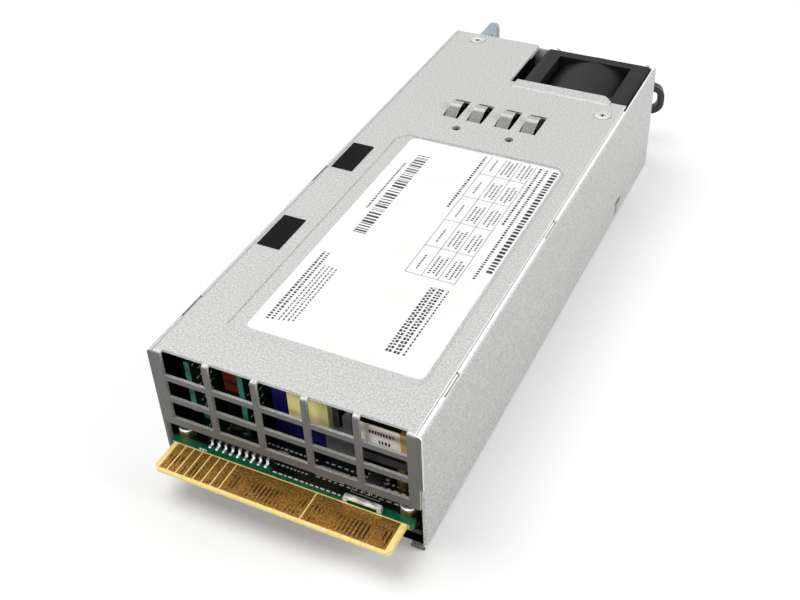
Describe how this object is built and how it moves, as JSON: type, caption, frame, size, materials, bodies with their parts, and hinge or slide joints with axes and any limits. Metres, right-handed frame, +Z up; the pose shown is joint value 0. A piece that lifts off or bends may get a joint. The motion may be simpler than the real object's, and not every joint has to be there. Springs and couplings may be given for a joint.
{
  "type": "hot swap server power supply",
  "caption": "Slim folded-steel plug-in power supply with a gold card-edge connector at one end and a fan, mains inlet, swinging handle and press latch at the other.",
  "frame": {"origin": "centre of the case's underside", "axes": "+X across the case, +Y from the card-edge end to the fan and inlet end, +Z up from the underside"},
  "size_m": [0.0762, 0.229, 0.0405],
  "materials": {
    "galvanised_steel": "zinc coated, matte, finely speckled",
    "nickel_screw": "nickel plated",
    "white_film": "satin film",
    "black_pad": "matte",
    "spring_steel": "bright rolled strip",
    "black_plastic": "moulded, fine grain",
    "fan_plastic": "moulded, satin",
    "shaft_steel": "ground",
    "magnet": "bonded ferrite, matte",
    "copper_coil": "enamelled copper wire",
    "guard_wire": "nickel plated wire",
    "black_screw": "black zinc",
    "pin_brass": "nickel plated brass",
    "lamp_lens": "clear moulded",
    "handle_plastic": "moulded nylon",
    "bracket_steel": "zinc plated",
    "translucent_tab": "translucent, pale blue-grey",
    "green_board": "solder mask",
    "black_film": "polyester film",
    "gold": "gold flash over nickel",
    "brass": "turned",
    "tin": "tinned",
    "red_capacitor": "dipped resin",
    "navy_capacitor": "moulded box",
    "ferrite": "sintered, matte",
    "yellow_tape": "polyester tape",
    "heatsink": "extruded",
    "capacitor_sleeve": "shrink sleeve",
    "line_capacitor": "moulded box",
    "ceramic": "ceramic tube",
    "lead_sleeve": "silicone"
  },
  "bodies": {
    "case": {"auxiliary_winding": "yellow_tape", "board_header": "black_plastic", "board_screws": "nickel_screw", "board_studs": "bracket_steel", "bracket_rivets": "nickel_screw", "bridge_rectifier": "black_plastic", "bulk_capacitors": "capacitor_sleeve", "card_spacers": "brass", "chassis": "galvanised_steel", "choke_coils": "copper_coil", "choke_cores": "ferrite", "control_board": "green_board", "cover_pads": "black_pad", "current_strap": "tin", "driver_board": "green_board", "edge_card": "green_board", "end_panel": "galvanised_steel", "fan_bearings": "shaft_steel", "fan_frame": "black_plastic", "fan_guard": "guard_wire", "fan_lead": "lead_sleeve", "fan_screws": "black_screw", "fan_stator": "copper_coil", "film_capacitors": "navy_capacitor", "flathead_screws": "nickel_screw", "ground_spring_left": "spring_steel", "ground_spring_right": "spring_steel", "handle_bracket": "bracket_steel", "handle_pin": "shaft_steel", "header_pins": "tin", "inlet_housing": "black_plastic", "inlet_links": "pin_brass", "inlet_pins": "pin_brass", "inrush_relay": "black_plastic", "insulating_sheet": "black_film", "latch_foot": "spring_steel", "latch_rivets": "nickel_screw", "line_capacitors": "line_capacitor", "line_fuse": "ceramic", "main_board": "green_board", "main_core": "ferrite", "main_winding": "yellow_tape", "output_cores": "ferrite", "output_heatsink": "heatsink", "output_winding": "yellow_tape", "power_contacts": "gold", "power_transistors": "black_plastic", "primary_heatsink": "heatsink", "rating_label": "white_film", "red_capacitor": "red_capacitor", "return_terminal": "brass", "signal_contacts": "gold", "status_lamp": "lamp_lens", "top_cover": "galvanised_steel"},
    "fan": {"fan_rotor": "fan_plastic", "fan_shaft": "shaft_steel", "fan_magnet": "magnet"},
    "handle": {"pull_handle": "handle_plastic"},
    "latch": {"latch_spring": "spring_steel", "latch_tab": "translucent_tab"}
  },
  "joints": [
    {"name": "fan_spin", "type": "hinge", "parent": "case", "child": "fan", "pos_m": [0.0169, 0.08, 0.01985], "axis": [0, 1, 0], "continuous": true},
    {"name": "handle_swing", "type": "hinge", "parent": "case", "child": "handle", "pos_m": [-0.0032, 0.097, 0.0165], "axis": [0, 0, 1], "range_deg": [-19.4, 68.6]},
    {"name": "latch_press", "type": "hinge", "parent": "case", "child": "latch", "pos_m": [-0.03545, 0.02, 0.0195], "axis": [0, 0, 1], "range_deg": [-2.5, 0], "stiffness_Nm_per_rad": 12}
  ]
}
